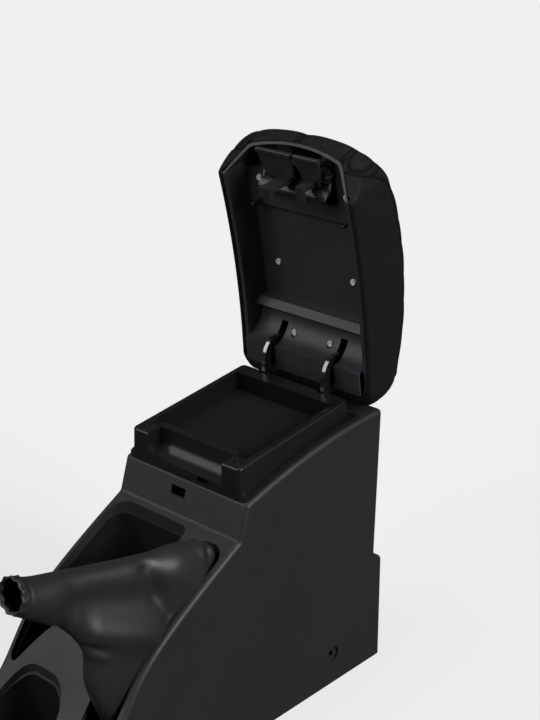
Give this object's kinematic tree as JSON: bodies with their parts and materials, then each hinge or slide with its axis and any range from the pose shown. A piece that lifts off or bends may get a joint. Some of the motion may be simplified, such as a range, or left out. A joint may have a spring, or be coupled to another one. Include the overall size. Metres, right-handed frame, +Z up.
{
  "type": "car floor console with armrest lid",
  "caption": "Car floor console with a padded armrest lid hinged open over a storage tray, a side pocket, a cup well and a soft hand brake boot; sprung latch levers hold the lid shut.",
  "frame": {"origin": "on the floor under the middle of the whole object with its lid open", "axes": "+X across the car to the boot's side, +Y to the rear of the car, +Z up"},
  "size_m": [0.2132, 0.616, 0.6831],
  "materials": {
    "console_plastic": "fine-grained matt charcoal moulding",
    "tray_plastic": "satin charcoal moulding",
    "liner_plastic": "satin charcoal moulding",
    "latch_plastic": "satin black moulding",
    "panel_gloss": "glossy black insert",
    "arm_gloss": "glossy black paint on steel",
    "bush_plastic": "plain plastic",
    "peg_plastic": "glossy black",
    "bumper_rubber": "soft black rubber",
    "felt": "black felt",
    "pad_leather": "black leatherette with stitched quilting",
    "boot_leather": "soft black leatherette",
    "screw_zinc": "bright zinc",
    "steel": "plain steel"
  },
  "bodies": {
    "console": {"console_body": "console_plastic", "storage_bin": "console_plastic", "pocket_liner": "console_plastic", "cup_holder": "console_plastic", "storage_tray": "tray_plastic", "tray_mat": "felt", "tray_bumpers": "bumper_rubber", "boot_frame": "console_plastic", "handbrake_boot": "boot_leather", "hinge_bracket": "steel", "bracket_rivets": "steel", "hinge_arm_left": "arm_gloss", "hinge_arm_right": "arm_gloss", "hinge_bushes": "bush_plastic"},
    "lid": {"lid_liner": "liner_plastic", "lid_base": "liner_plastic", "lid_pad": "pad_leather", "hinge_pin": "steel", "lid_screws": "screw_zinc", "lid_pegs": "peg_plastic", "latch_housing": "latch_plastic", "latch_panel": "panel_gloss", "latch_pin": "steel", "latch_springs": "steel"},
    "long_lever": {"long_latch_lever": "latch_plastic"},
    "short_lever": {"short_latch_lever": "latch_plastic"}
  },
  "joints": [
    {"name": "lid_hinge", "type": "hinge", "parent": "console", "child": "lid", "pos_m": [0, 0.24463, 0.38518], "axis": [1, 0, 0], "range_deg": [0, 92.5]},
    {"name": "long_lever_pivot", "type": "hinge", "parent": "lid", "child": "long_lever", "pos_m": [0, 0.21557, 0.63972], "axis": [-1, 0, 0], "range_deg": [0, 12], "stiffness_Nm_per_rad": 0.3, "springref_deg": -5.73},
    {"name": "short_lever_pivot", "type": "hinge", "parent": "lid", "child": "short_lever", "pos_m": [0, 0.21557, 0.63972], "axis": [-1, 0, 0], "range_deg": [0, 12], "stiffness_Nm_per_rad": 0.3, "springref_deg": -5.73}
  ]
}
